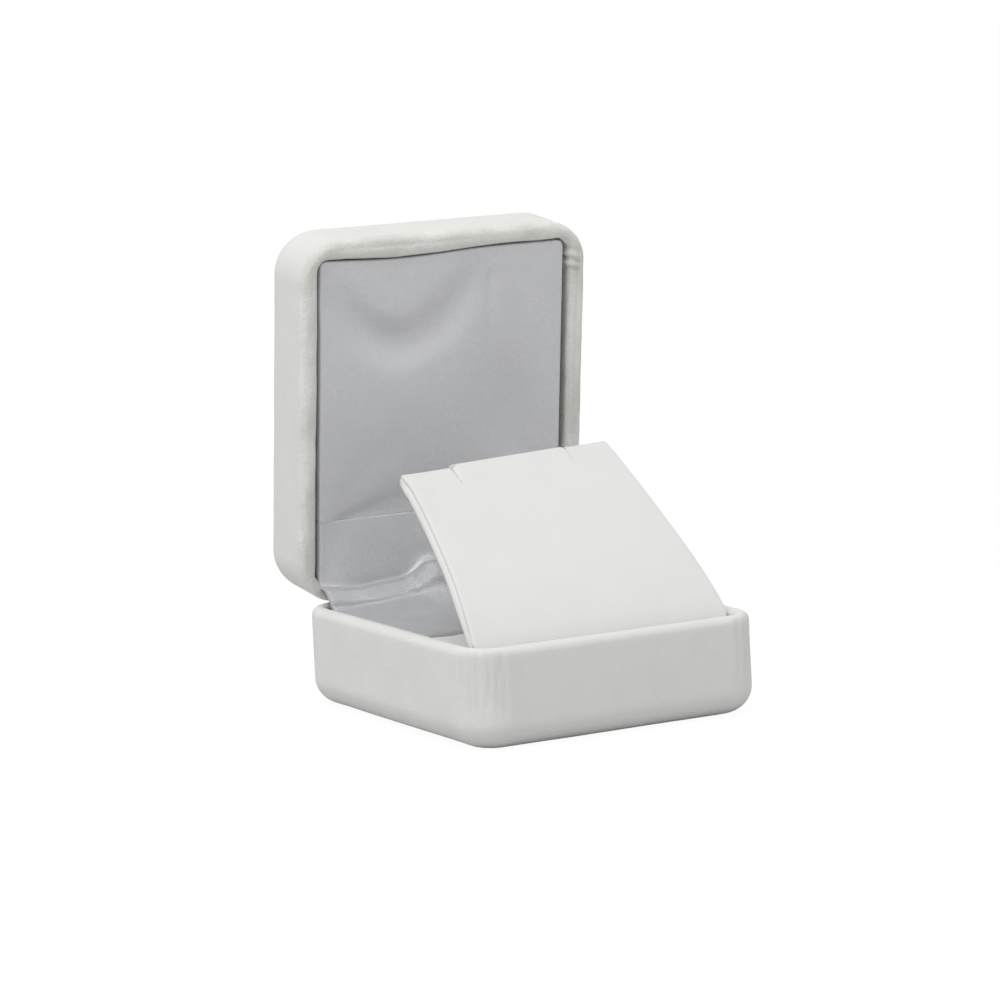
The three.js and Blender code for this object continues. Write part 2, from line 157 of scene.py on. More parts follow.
def grid_rim(rows, cols):
    """The (row, column) places round a grid with that many cells, in order."""
    return ([(0, j) for j in range(cols + 1)] + [(i, cols) for i in range(1, rows + 1)]
            + [(rows, j) for j in range(cols - 1, -1, -1)] + [(i, 0) for i in range(rows - 1, 0, -1)])


def apply_modifiers(obj):
    """Replaces the mesh by what its modifiers make of it."""
    graph = bpy.context.evaluated_depsgraph_get()
    mesh = bpy.data.meshes.new_from_object(obj.evaluated_get(graph))
    obj.modifiers.clear()
    obj.data = mesh


# ------------------------------------------------------------------ materials

class Nodes:
    """A material's node tree, built step by step."""

    def __init__(self, name, color, roughness, metallic=0.0, **inputs):
        self.material = bpy.data.materials.new(name)
        self.material.use_nodes = True
        self.tree = self.material.node_tree
        self.shader = self.tree.nodes["Principled BSDF"]
        self.shader.inputs["Base Color"].default_value = (*color, 1)
        self.shader.inputs["Roughness"].default_value = roughness
        self.shader.inputs["Metallic"].default_value = metallic
        for key, value in inputs.items():
            self.shader.inputs[key.replace("_", " ")].default_value = value
        self.place = self.tree.nodes.new("ShaderNodeTexCoord").outputs["Object"]

    def add(self, kind, **values):
        node = self.tree.nodes.new(kind)
        for key, value in values.items():
            if hasattr(node, key):
                setattr(node, key, value)
            else:
                node.inputs[key.replace("_", " ")].default_value = value
        return node

    def link(self, source, target):
        self.tree.links.new(source, target)

    def noise(self, size, detail=2.0, rough=0.5, coords=None):
        node = self.add("ShaderNodeTexNoise", Scale=1 / (size * MM), Detail=detail, Roughness=rough)
        self.link(coords or self.place, node.inputs["Vector"])
        return node.outputs["Fac"]

    def cells(self, size, feature="F1"):
        node = self.add("ShaderNodeTexVoronoi", feature=feature, Scale=1 / (size * MM))
        self.link(self.place, node.inputs["Vector"])
        return node.outputs["Distance"]

    def turned(self, angles, scale=(1, 1, 1)):
        node = self.add("ShaderNodeMapping")
        node.inputs["Rotation"].default_value = [math.radians(a) for a in angles]
        node.inputs["Scale"].default_value = scale
        self.link(self.place, node.inputs["Vector"])
        return node.outputs["Vector"]

    def waves(self, size, coords, distortion=0.0, detail_size=1.0):
        node = self.add("ShaderNodeTexWave", Scale=1 / (size * MM) / 20 * math.tau, Distortion=distortion)
        node.inputs["Detail Scale"].default_value = detail_size
        node.inputs["Detail"].default_value = 1.0
        self.link(coords, node.inputs["Vector"])
        return node.outputs["Fac"]

    def math(self, operation, a, b):
        node = self.add("ShaderNodeMath", operation=operation)
        for socket, value in zip(node.inputs, (a, b)):
            if isinstance(value, (int, float)):
                socket.default_value = value
            else:
                self.link(value, socket)
        return node.outputs["Value"]

    def ramp(self, source, low, high, a=(0, 0, 0, 1), b=(1, 1, 1, 1)):
        node = self.add("ShaderNodeValToRGB")
        node.color_ramp.elements[0].position = low
        node.color_ramp.elements[1].position = high
        node.color_ramp.elements[0].color = a
        node.color_ramp.elements[1].color = b
        self.link(source, node.inputs["Fac"])
        return node.outputs["Color"]

    def color_between(self, source, low, high, dark, light):
        self.link(self.ramp(source, low, high, (*dark, 1), (*light, 1)), self.shader.inputs["Base Color"])

    def roughness_between(self, source, low, high):
        node = self.add("ShaderNodeMapRange")
        node.inputs["To Min"].default_value = low
        node.inputs["To Max"].default_value = high
        self.link(source, node.inputs["Value"])
        self.link(node.outputs["Result"], self.shader.inputs["Roughness"])

    def bump(self, height, depth, strength=1.0, before=None):
        node = self.add("ShaderNodeBump")
        node.inputs["Distance"].default_value = depth * MM
        node.inputs["Strength"].default_value = strength
        self.link(height, node.inputs["Height"])
        if before is not None:
            self.link(before, node.inputs["Normal"])
        self.link(node.outputs["Normal"], self.shader.inputs["Normal"])
        return node.outputs["Normal"]


def leatherette_material(name, dark, light, grain, roughness=0.62):
    """White leatherette: fine pebble grain over soft unevenness, with a fine mottle."""
    n = Nodes(name, light, roughness, Specular_IOR_Level=0.35)
    patches = n.noise(7.0, 3)
    tone = n.math("ADD", n.math("MULTIPLY", patches, 0.7), n.math("MULTIPLY", n.noise(0.35, 2), 0.3))
    n.color_between(tone, 0.3, 0.7, dark, light)
    n.roughness_between(n.noise(1.2), roughness - 0.06, roughness + 0.08)
    pebbles = n.cells(0.34, "SMOOTH_F1")
    wrinkles = n.noise(0.9, 4, 0.6)
    soft = n.bump(wrinkles, 0.05 * grain)
    n.bump(n.math("ADD", pebbles, n.math("MULTIPLY", n.noise(0.14, 2), 0.6)), 0.022 * grain, before=soft)
    return n.material


def satin_material(name, angle, dark, light, lines_share, depth):
    """Grey-white satin: fine diagonal twill lines, uneven floats and a soft gloss."""
    n = Nodes(name, light, 0.34, IOR=1.8, Specular_IOR_Level=0.6, Sheen_Weight=0.15, Sheen_Roughness=0.4)
    twill = n.waves(0.36, n.turned(angle), 1.2, 5.0)
    uneven = n.ramp(n.noise(5.0, 3), 0.38, 0.66)
    lines = n.math("MULTIPLY", twill, n.math("ADD", n.math("MULTIPLY", uneven, 0.8), 0.2))
    tone = n.math("ADD", n.math("MULTIPLY", lines, lines_share),
                  n.math("MULTIPLY", n.noise(0.5, 4, 0.65), 1 - lines_share))
    n.color_between(tone, 0.15, 0.75, dark, light)
    n.roughness_between(n.noise(2.5), 0.26, 0.38)
    n.bump(n.math("ADD", lines, n.math("MULTIPLY", n.noise(0.15, 2), 0.5)), depth)
    return n.material


def cloth_material(name):
    """Short-nap pad cloth."""
    n = Nodes(name, (0.66, 0.66, 0.65), 0.9, Specular_IOR_Level=0.2, Sheen_Weight=0.4, Sheen_Roughness=0.6)
    nap = n.noise(0.22, 4, 0.7)
    n.color_between(nap, 0.35, 0.65, (0.70, 0.70, 0.69), (0.82, 0.82, 0.81))
    n.roughness_between(n.noise(1.5), 0.85, 0.95)
    n.bump(nap, 0.06)
    return n.material


def steel_material(name):
    """Nickel-plated spring steel with fine drawing marks."""
    n = Nodes(name, (0.62, 0.61, 0.59), 0.3, 1.0)
    marks = n.noise(0.5, 3, coords=n.turned((0, 0, 0), (0.06, 1, 1)))
    n.color_between(n.noise(3.0, 3), 0.3, 0.7, (0.52, 0.51, 0.49), (0.66, 0.65, 0.64))
    n.roughness_between(marks, 0.22, 0.42)
    n.bump(marks, 0.01)
    return n.material


def shell_material(name):
    """Moulded ivory plastic, faintly mottled."""
    n = Nodes(name, (0.62, 0.59, 0.53), 0.5, Specular_IOR_Level=0.4)
    n.color_between(n.noise(4.0, 3), 0.3, 0.7, (0.57, 0.54, 0.48), (0.65, 0.62, 0.56))
    n.roughness_between(n.noise(1.0), 0.42, 0.58)
    n.bump(n.noise(0.3, 2), 0.02)
    return n.material


def card_material(name):
    """Grey-brown board with fibres."""
    n = Nodes(name, (0.45, 0.40, 0.33), 0.9)
    fibres = n.noise(0.4, 4, 0.7, n.turned((0, 0, 25), (0.2, 1, 1)))
    n.color_between(fibres, 0.3, 0.7, (0.34, 0.29, 0.23), (0.50, 0.45, 0.38))
    n.roughness_between(n.noise(1.0), 0.85, 0.95)
    n.bump(fibres, 0.03)
    return n.material


def foam_material(name):
    """Open-cell foam and wadding."""
    n = Nodes(name, (0.72, 0.68, 0.58), 0.95, Specular_IOR_Level=0.1)
    pores = n.cells(0.5)
    n.color_between(pores, 0.1, 0.6, (0.78, 0.75, 0.66), (0.60, 0.56, 0.47))
    n.roughness_between(n.noise(0.8), 0.9, 0.98)
    n.bump(pores, 0.2)
    return n.material


LEATHERETTE = leatherette_material("leatherette", (0.735, 0.735, 0.715), (0.775, 0.775, 0.755), 1.0)
LEATHERETTE_RIM = leatherette_material("leatherette_rim", (0.67, 0.665, 0.625), (0.88, 0.875, 0.84), 3.2, 0.7)
LEATHERETTE_FLAP = leatherette_material("leatherette_flap", (0.75, 0.75, 0.735), (0.775, 0.775, 0.76), 0.6)
SATIN = satin_material("satin", (0, 40, 30), (0.60, 0.605, 0.63), (0.72, 0.725, 0.745), 0.3, 0.035)
# Satin for the fold: the same cloth with its twill turned and stronger, in darker colours that are painted
# shade of the fold under the flap.
SATIN_CROSSWAYS_PAINTED_SHADE = satin_material(
    "satin_crossways_painted_shade", (0, 20, -30), (0.41, 0.415, 0.43), (0.56, 0.565, 0.58), 0.55, 0.06)
PAD_CLOTH = cloth_material("pad_cloth")
STEEL = steel_material("steel")
SHELL = shell_material("shell")
CARD = card_material("card")
FOAM = foam_material("foam")


# ------------------------------------------------------------------ trays

def arc(cx, cz, radius, start, end, steps):
    """Points (inset, height, outward part, upward part) on an arc, angles in degrees."""
    points = []
    for i in range(steps + 1):
        a = math.radians(mix(start, end, i / steps))
        points.append((cx + radius * math.cos(a), cz + radius * math.sin(a), -math.cos(a), math.sin(a)))
    return points


def wall_profile(height, edge, rim, total, cover, over, lip, turn_in):
    """Cross-section of a tray's cover, from the middle of the underside out, over the rim, down
    inside to the end of the turned-in strip, and back along the inner side.
    Each point is (inset, height, outward part, upward part, zone)."""
    out = [(inset, 0.0, 0.0, -1.0, "under") for inset in (20, 16, 12.5, 10, edge + 1.6, edge + 0.5)]
    out += [(*p, "wall") for p in arc(edge, edge, edge, 270, 180, 14)]
    steps = 14
    out += [(0.0, mix(edge, height - rim, i / steps), 1.0, 0.0, "wall") for i in range(1, steps)]
    out += [(*p, "rim") for p in arc(rim, height - rim, rim, 180, 90, 9)]
    out += [(mix(rim, total - rim, t), height, 0.0, 1.0, "rim") for t in (0.33, 0.67)]
    out += [(*p, "rim") for p in arc(total - rim, height - rim, rim, 90, 0, 9)]
    steps = 5
    out += [(total, mix(height - rim, height - turn_in, i / steps), -1.0, 0.0, "inside")
            for i in range(1, steps + 1)]
    back = [(total - lip, mix(height - turn_in, height - over - 0.3, i / steps)) for i in range(steps + 1)]
    back += [(mix(total - lip, cover, t), height - over) for t in (0.1, 0.5, 0.9)]
    back += [(cover, mix(height - over - 0.3, edge, i / steps)) for i in range(steps + 1)]
    back += [(p[0], p[1]) for p in arc(edge, edge, edge - cover, 180, 270, 5)[1:]]
    back += [(edge + 4, cover), (edge + 10, cover), (20, cover)]
    out += [(inset, z, 0.0, 0.0, "back") for inset, z in back]
    return out


def perimeter(corner_steps, side_steps, end_steps, extra):
    """Where the points round a tray stand: (side number, share) with even numbers straight."""
    ends = sorted(set([i / end_steps for i in range(end_steps)] + extra))
    along = [i / side_steps for i in range(side_steps)]
    sides = [along, ends, along, ends]
    stops = []
    for side in range(4):
        stops += [(2 * side, s) for s in sides[side]]
        stops += [(2 * side + 1, i / corner_steps) for i in range(corner_steps)]
    return stops


def perimeter_point(stop, half_x, half_y, radius):
    """Point and outward direction on a rounded rectangle: right side, back right corner, back and so on."""
    part, share = stop
    x, y = half_x - radius, half_y - radius
    corners = [(x, y), (-x, y), (-x, -y), (x, -y)]
    normals = [(1, 0), (0, 1), (-1, 0), (0, -1)]
    side = part // 2
    nx, ny = normals[side]
    if part % 2 == 0:
        start, end = corners[(side - 1) % 4], corners[side]
        return (mix(start[0], end[0], share) + nx * radius, mix(start[1], end[1], share) + ny * radius, nx, ny)
    angle = math.radians(90 * (side + share))
    nx, ny = math.cos(angle), math.sin(angle)
    cx, cy = corners[side]
    return cx + nx * radius, cy + ny * radius, nx, ny


def tray_cover(name, body, height, corner, edge, mouth, notch_drop, notch_side, relief, matrix, replaced):
    """A tray's leatherette, rim up, with its hinge notch at the wall that notch_side gives."""
    normal = wall_profile(height, edge, rim=1.4, total=WALL, cover=0.7, over=0.7, lip=0.7, turn_in=5.0)
    notched = wall_profile(
        height - notch_drop, edge, rim=1.0, total=2.15, cover=0.7, over=0.25, lip=0.12, turn_in=1.3)
    # The notch ends this far from the middle and runs out over the next bit.
    reach, run_out = 14.8, 0.55
    back_half = BOX_WIDTH / 2 - corner
    extra = []
    for x in (reach - 0.05, reach + 0.1, reach + 0.25, reach + 0.4, reach + run_out):
        extra += [0.5 - x / back_half / 2, 0.5 + x / back_half / 2]
    stops = perimeter(corner_steps=26, side_steps=190, end_steps=110, extra=extra)
    verts, zones = [], []
    for k, (inset, z, out, up, zone) in enumerate(normal):
        for stop in stops:
            at_mouth = zone in ("rim", "inside")
            radius = max(mix(corner, mouth, min(inset / WALL, 1.0)) if at_mouth else corner - inset, 0.3)
            x, y, nx, ny = perimeter_point(stop, BOX_WIDTH / 2 - inset, BOX_DEPTH / 2 - inset, radius)
            at_hinge = 0.0
            if ny * notch_side > 0.99:
                at_hinge = 1 - smooth(reach, reach + run_out, abs(x))
            if at_hinge > 0:
                notch_inset, notch_z = notched[k][0], notched[k][1]
                y += notch_side * (inset - notch_inset) * at_hinge
                z_here = mix(z, notch_z, at_hinge)
            else:
                z_here = z
            if zone != "back":
                push = relief(x, y, z_here, nx, ny, out, up, zone) * (1 - at_hinge)
                x += nx * out * push
                y += ny * out * push
                z_here += up * push
            verts.append((x, y, z_here))
        zones.append(zone)
    cols, rows = len(stops), len(normal)
    faces = grid_faces(rows, cols, True)
    faces.append(tuple(range(cols)))
    faces.append(tuple(range((rows - 1) * cols, rows * cols)))
    obj = make_object(name, verts, faces, body, [LEATHERETTE, LEATHERETTE_RIM], matrix)
    rim_rows = {i for i, zone in enumerate(zones) if zone in ("rim", "inside", "back")}
    for polygon in obj.data.polygons:
        row = polygon.vertices[0] // cols
        if len(polygon.vertices) == 4 and row in rim_rows and body == "lid":
            polygon.material_index = 1
    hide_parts(*replaced)
    return obj


def corner_angle(nx, ny):
    """Degrees round the tray, 0 at the right side and 90 at the back."""
    return math.degrees(math.atan2(ny, nx)) % 360


def pleats(angle, centres, depth, width):
    return -depth * sum(bell(angle, c, width) for c in centres)


def base_relief(x, y, z, nx, ny, out, up, zone):
    push = 0.05 * lumps(x, y, z, 9.0, 1.7) + 0.02 * lumps(x, y, z, 3.0, 4.1)
    if zone in ("wall", "rim") and 0 < abs(nx) < 1 and 0 < abs(ny) < 1:
        angle = corner_angle(nx, ny)
        level = smooth(3.5, 8.0, z) * (1 - smooth(15.4, 16.6, z))
        for quarter, depth in ((45, 0.10), (135, 0.10), (225, 0.30), (315, 0.26)):
            local = angle - quarter + 45
            if 0 < local < 90:
                sway = 3.0 * lumps(x, y, z, 5.0, 8.8)
                push += pleats(local + sway, (14, 31, 42, 58, 69, 80), depth * level, 3.0)
                push += pleats(local - sway, (23, 50, 75), 0.6 * depth * level, 1.8)
    return push


def lid_relief(x, y, z, nx, ny, out, up, zone):
    push = 0.06 * lumps(x, y, z, 8.0, 3.3) + 0.03 * lumps(x, y, z, 2.5, 6.2)
    inward = max(-out, 0.0)
    if zone in ("rim", "inside"):
        along_x = 0.2 if abs(ny) > 0.7 else 1.0
        along_y = 0.2 if abs(nx) > 0.7 else 1.0
        push += 0.09 * lumps(x * along_x, y * along_y, z, 0.9, 2.2)
        # The leatherette bulges into the mouth along the front side.
        push += 0.8 * inward * smooth(0.6, 1.0, ny) * bell(x, -9, 13)
        # Gathers where the front right corner is turned in, and a hollow band below them
        if nx > 0.2:
            near = smooth(18, 21, x) * smooth(16, 19, y) * (1 - smooth(25.4, 26.5, x))
            lean = 0.3 * (x - 24)
            for centre, depth, width in ((26.3, 0.35, 0.55), (24.6, 0.65, 0.5), (23.1, 0.5, 0.45)):
                push -= near * depth * bell(y + lean, centre, width)
            push += near * inward * 0.55 * smooth(22.4, 23.2, y) * (1 - smooth(26.0, 28.0, y))
            push -= up * 0.3 * bell(x, 25.5, 0.6) * (1 - smooth(21.5, 23.5, y))
        if x < -14 and y > 14:
            angle = corner_angle(nx, ny)
            push += 0.05 * math.sin(math.radians(angle) * 34) * bell(angle, 135, 26)
    return push


def make_trays():
    """The trays' leatherette, base and lid. A tray is drawn rim up, so the lid's is turned over."""
    base = tray_cover(
        "base_leatherette", "base", BASE_HEIGHT, corner=6.8, edge=4.5, mouth=3.0, notch_drop=0.45,
        notch_side=1, relief=base_relief, matrix=Matrix.Identity(4), replaced=["base_cover"])
    place = LID_OPEN @ Matrix.Translation((0, 0, LID_TOP)) @ Matrix.Rotation(math.pi, 4, "X")
    lid = tray_cover(
        "lid_leatherette", "lid", LID_TOP - LID_RIM, corner=7.3, edge=6.4, mouth=2.1, notch_drop=1.75,
        notch_side=-1, relief=lid_relief, matrix=place, replaced=["lid_cover"])
    return base, lid


base_skin, lid_skin = make_trays()


# ------------------------------------------------------------------ flap

FLAP_LENGTH = flap_high[1]
FLAP_BOW = 3.2
FLAP_THICK = 2.4
FLAP_HALF = flap_high[0]


def bezier(points, t):
    points = list(points)
    while len(points) > 1:
        points = [tuple(mix(a, b, t) for a, b in zip(p, q)) for p, q in zip(points, points[1:])]
    return points[0]


FLAP_CURVE = [(0, 0), (0.12 * FLAP_LENGTH, FLAP_BOW), (0.5 * FLAP_LENGTH, 0.91 * FLAP_BOW), (FLAP_LENGTH, 0)]


def flap_share(s):
    """Where on the flap's curve its side view reaches s."""
    low, high = 0.0, 1.0
    for _ in range(30):
        middle = (low + high) / 2
        if bezier(FLAP_CURVE, middle)[0] < s:
            low = middle
        else:
            high = middle
    return high


def flap_place(share, depth):
    """Point in the flap's side view at a share of its curve, that deep behind its front face."""
    s, h = bezier(FLAP_CURVE, share)
    s2, h2 = bezier(FLAP_CURVE, min(share + 0.002, 1.0))
    s1, h1 = bezier(FLAP_CURVE, max(share - 0.002, 0.0))
    length = math.hypot(s2 - s1, h2 - h1)
    ds, dh = (s2 - s1) / length, (h2 - h1) / length
    return s + dh * depth, h - ds * depth


def flap_half_width(s):
    widest = FLAP_HALF - 3.8 + 4.2 * (1 - s / FLAP_LENGTH) ** 1.3
    return widest - 1.3 * (1 - smooth(0, 3, s))


SLIT = 5.4
TONGUES = (26, 40, 26)


def flap_columns(half, s):
    """Places across the flap's three tongues. The two chain slits lie between the tongues."""
    above = min(FLAP_LENGTH - s, SLIT)
    gap = mix(0.15, 0.02, smooth(0.0, SLIT, above))
    left, right = -10.5 - 0.04 * above, 11.5 - 0.05 * above
    spans = ((-half, left - gap), (left + gap, right - gap), (right + gap, half))
    return [mix(start, end, i / (count - 1))
            for (start, end), count in zip(spans, TONGUES) for i in range(count)]


def flap_loop(half, s, apart):
    """Cross-section of the flap: front face, edge with a groove between two layers, back face.
    The back layer stands out further where the layers are apart."""
    groove, proud = half - 0.10 - 0.08 * apart, half + 0.42 * apart * smooth(0, 12, s)
    front = [(x, 0.0) for x in flap_columns(half - 0.3, s)]
    right = [(half - 0.1, 0.08), (half, 0.3), (half - 0.04, 0.56), (half - 0.12, 0.72), (groove, 0.84),
             (groove, 0.98), (half, 1.1), (proud - 0.08, 1.3), (proud, 1.7), (proud - 0.08, 2.1),
             (proud - 0.3, 2.34)]
    back = [(x, FLAP_THICK) for x in reversed(flap_columns(half - 0.6, s))]
    left = [(-x, d) for x, d in reversed(right)]
    return front + right + back + left


def make_flap():
    below, above = 60, 30
    lengths = [i / below * (FLAP_LENGTH - SLIT) for i in range(below)]
    lengths += [FLAP_LENGTH - SLIT * (1 - i / above) ** 1.7 for i in range(above + 1)]
    across = sum(TONGUES)
    edge = len(flap_loop(20, 10, 1)) // 2 - across
    verts, cols = [], 0
    for length in lengths:
        share = flap_share(length)
        from_tip = FLAP_LENGTH - length
        swell = 1.0
        if from_tip < FLAP_THICK / 2:
            swell = max(math.sqrt(max(1 - (1 - 2 * from_tip / FLAP_THICK) ** 2, 0)), 0.08)
        corner = 0.8 - math.sqrt(max(0.64 - max(0.8 - from_tip, 0) ** 2, 0))
        half = flap_half_width(length) - corner
        loop = flap_loop(half, length, smooth(0.3, 4.0, from_tip))
        cols = len(loop)
        for x, depth in loop:
            s, h = flap_place(share, FLAP_THICK / 2 + (depth - FLAP_THICK / 2) * swell)
            # The end is cut a little askew, longer on the right, and longer than the CAD flap's.
            s += max(length, 0) / FLAP_LENGTH * (1.9 + 0.055 * x)
            h += 0.05 * lumps(x, s, 0 if depth < 1 else 9, 11.0, 5.5)
            # The end tongues outside the slits stand a little behind the middle one.
            free = smooth(SLIT, 0, from_tip)
            h -= free * (0.75 if x < -10.4 else 0.3 if x > 11.3 else 0.0)
            # The left edge lifts a little towards the front.
            h += 0.25 * smooth(FLAP_HALF - 9, FLAP_HALF, -x) * smooth(4, 20, s)
            verts.append((x, s, h))
    rows = len(lengths)

    def behind(column):
        return across + edge + across - 1 - column

    slits = (TONGUES[0] - 1, TONGUES[0] + TONGUES[1] - 1)
    faces = []
    for i in range(rows - 1):
        for j in range(cols):
            cut = any(j in (c, behind(c + 1)) for c in slits)
            if not (cut and i >= below):
                k = (j + 1) % cols
                faces.append((i * cols + j, i * cols + k, (i + 1) * cols + k, (i + 1) * cols + j))
    for column in slits:
        for side in (column, column + 1):
            for i in range(below, rows - 1):
                faces.append((i * cols + side, (i + 1) * cols + side,
                              (i + 1) * cols + behind(side), i * cols + behind(side)))
        start = below * cols
        faces.append((start + column, start + column + 1, start + behind(column + 1), start + behind(column)))
    for row in (0, rows - 1):
        start = row * cols
        for c in range(across - 1):
            if row == 0 or c not in slits:
                faces.append((start + c, start + c + 1, start + behind(c + 1), start + behind(c)))
        faces.append(tuple(start + j for j in range(across - 1, across + edge + 1)))
        faces.append(tuple(start + j % cols for j in range(2 * across + edge - 1, cols + 1)))
    flap = make_object("flap_leatherette", verts, faces, "flap", [LEATHERETTE_FLAP], FLAP_PLACE)
    flap.data.set_sharp_from_angle(angle=math.radians(60))
    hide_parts("flap_cover")
    return flap


flap_skin = make_flap()


# ------------------------------------------------------------------ lid liner

LINER_HALF = satin_high[0]
LINER_FRONT = satin_low[1]
LINER_CREASE = satin_high[1]
LINER_FACE = satin_low[2]


def curve_distance(x, y, curve, steps=24):
    """Signed distance to a curve, positive on its left, and the share along it."""
    best = (1e9, 0, 0)
    last = curve(0)
    for i in range(1, steps + 1):
        point = curve(i / steps)
        dx, dy = point[0] - last[0], point[1] - last[1]
        length2 = dx * dx + dy * dy
        t = min(max(((x - last[0]) * dx + (y - last[1]) * dy) / length2, 0), 1)
        ex, ey = x - last[0] - t * dx, y - last[1] - t * dy
        d = math.hypot(ex, ey)
        if d < best[0]:
            best = (d, (i - 1 + t) / steps, dx * ey - dy * ex)
        last = point
    return math.copysign(best[0], best[2]), best[1]


def scallop(t):
    """The slack fold that hangs from the front left corner to the fan of folds on the right."""
    return bezier([(-22.6, -24.6), (-15.0, -15.5), (-8.6, -5.0), (0.5, -17.0), (8.6, -26.6)], t)


def liner_front(x):
    """The liner's front edge, pressed in where the lid's leatherette bulges."""
    return LINER_FRONT - 0.3 + 0.75 * bell(x, -9, 13)


def satin_height(x, v):
    """How far the satin stands out of its plane towards the box."""
    rim = min(LINER_HALF - abs(x), v - liner_front(x), (LINER_CREASE - v) * 1.5 + 0.4)
    edge = smooth(0.0, 3.2, rim)
    height = 0.30 * edge
    side, share = curve_distance(x, v, scallop)
    # Inside the scallop the satin hangs out, at the fold it dips, below it rises again softly.
    body = math.sin(math.pi * min(max(share, 0.02), 0.98)) ** 0.6
    height -= 2.4 * body * bell(side, 0, 4.2 if side > 0 else 3.2)
    if side <= 0:
        height += 0.3 * body * bell(side, -7.5, 3.5) * edge
    # Fan of folds under the front edge
    fan_x, fan_v = x - 8.6, v + 27.0
    reach = math.hypot(fan_x, fan_v)
    angle = math.degrees(math.atan2(fan_x, max(fan_v, 0.01)))
    fade = smooth(1, 4, reach) * (1 - smooth(12, 26, reach))
    height += fade * (0.22 * bell(angle, -20, 9) - 0.32 * bell(angle, 2, 6) + 0.2 * bell(angle, 14, 8))
    # Shallow hollow right of the middle
    height -= 1.9 * bell(x, 12.5, 7.0) * bell(v, 2, 15) * edge
    height += 0.35 * bell(x, -4.0, 7.0) * bell(v, -1, 13) * edge
    # Folds that fan out of the back left corner
    low_x, low_v = x + 23.4, 17.6 - v
    reach = math.hypot(low_x, low_v)
    angle = math.degrees(math.atan2(low_v, max(low_x, 0.01)))
    fade = smooth(0.5, 5, reach) * (1 - smooth(16, 30, reach))
    height += fade * (0.62 * bell(angle, 33, 10) - 0.75 * bell(angle, 12, 9) + 0.28 * bell(angle, 60, 12))
    mirrored = math.degrees(math.atan2(low_v, max(23.4 - x, 0.01)))
    height += 0.3 * smooth(0.5, 5, math.hypot(23.4 - x, low_v)) * bell(mirrored, 35, 12) * (
        1 - smooth(10, 22, math.hypot(23.4 - x, low_v)))
    height += 0.06 * lumps(x, v, 0, 6.0, 2.9)
    # The turned edge along the crease stands out, slightly scalloped.
    height += 0.4 * bell(v, LINER_CREASE - 0.3, 0.35) * (0.8 + 0.4 * lumps(x, 0, 0, 1.7, 5.0))
    # It stays clear of the flap that lies under it in the closed box.
    return 0.25 - math.log1p(math.exp(4 * (0.15 - height))) / 4


def round_corner(x, y, half_x, half_y, radius):
    """Moves a point of a rectangle's corner square onto the matching quarter disc."""
    dx, dy = abs(x) - (half_x - radius), abs(y) - (half_y - radius)
    if dx <= 0 or dy <= 0:
        return x, y
    reach = math.hypot(dx, dy)
    grow = max(dx, dy) / reach
    return (math.copysign(half_x - radius + dx * grow, x), math.copysign(half_y - radius + dy * grow, y))


def solidify(obj, thickness, offset=-1.0):
    thick = obj.modifiers.new("thickness", "SOLIDIFY")
    thick.thickness = thickness * MM
    thick.offset = offset
    thick.use_even_offset = False
    apply_modifiers(obj)


def make_liner():
    cols, rows = 110, 108
    half_x, half_y = LINER_HALF - 0.25, (LINER_CREASE - LINER_FRONT) / 2
    verts = []
    for i in range(rows + 1):
        for j in range(cols + 1):
            x = mix(-half_x, half_x, j / cols)
            y = mix(-half_y, half_y, i / rows)
            radius = 0.8
            if y < 0:
                x, y = round_corner(x, y, half_x, half_y, radius)
            share = (y + half_y) / (2 * half_y)
            v = mix(liner_front(x) + 0.25, LINER_CREASE, share)
            # The right side leaves a wider gap to the lid's wall.
            x -= 0.6 * smooth(12, half_x, x)
            verts.append((x, v, LINER_FACE - satin_height(x, v)))
    faces = grid_faces(rows + 1, cols + 1)
    # The satin is turned back over the card at both sides, at the front and under the crease.
    rim = grid_rim(rows, cols)
    ring = [i * (cols + 1) + j for i, j in rim]
    for out, drop in ((0.17, 0.12), (0.25, 0.45), (0.25, 1.6), (0.22, 3.2), (0.12, 3.9)):
        start = len(verts)
        for i, j in rim:
            x, v, z = verts[i * (cols + 1) + j]
            nx = -1 if j == 0 else 1 if j == cols else 0
            ny = -1 if i == 0 else 1 if i == rows else 0
            scale = 0.75 if nx and ny else 1.0
            low = mix(z, LINER_FACE, min(drop, 1.0)) + drop
            if ny > 0:
                low = min(low, LINER_FACE + 1.2 + 0.1 * drop)
            verts.append((x + nx * out * scale, v + ny * out * scale, low))
        new = list(range(start, start + len(rim)))
        for k in range(len(rim)):
            m = (k + 1) % len(rim)
            faces.append((ring[k], ring[m], new[m], new[k]))
        ring = new
    liner = make_object("liner_satin", verts, faces, None, [SATIN], LID_OPEN)
    solidify(liner, 0.22)
    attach(liner, "lid")
    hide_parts("lid_liner_satin")
    return liner


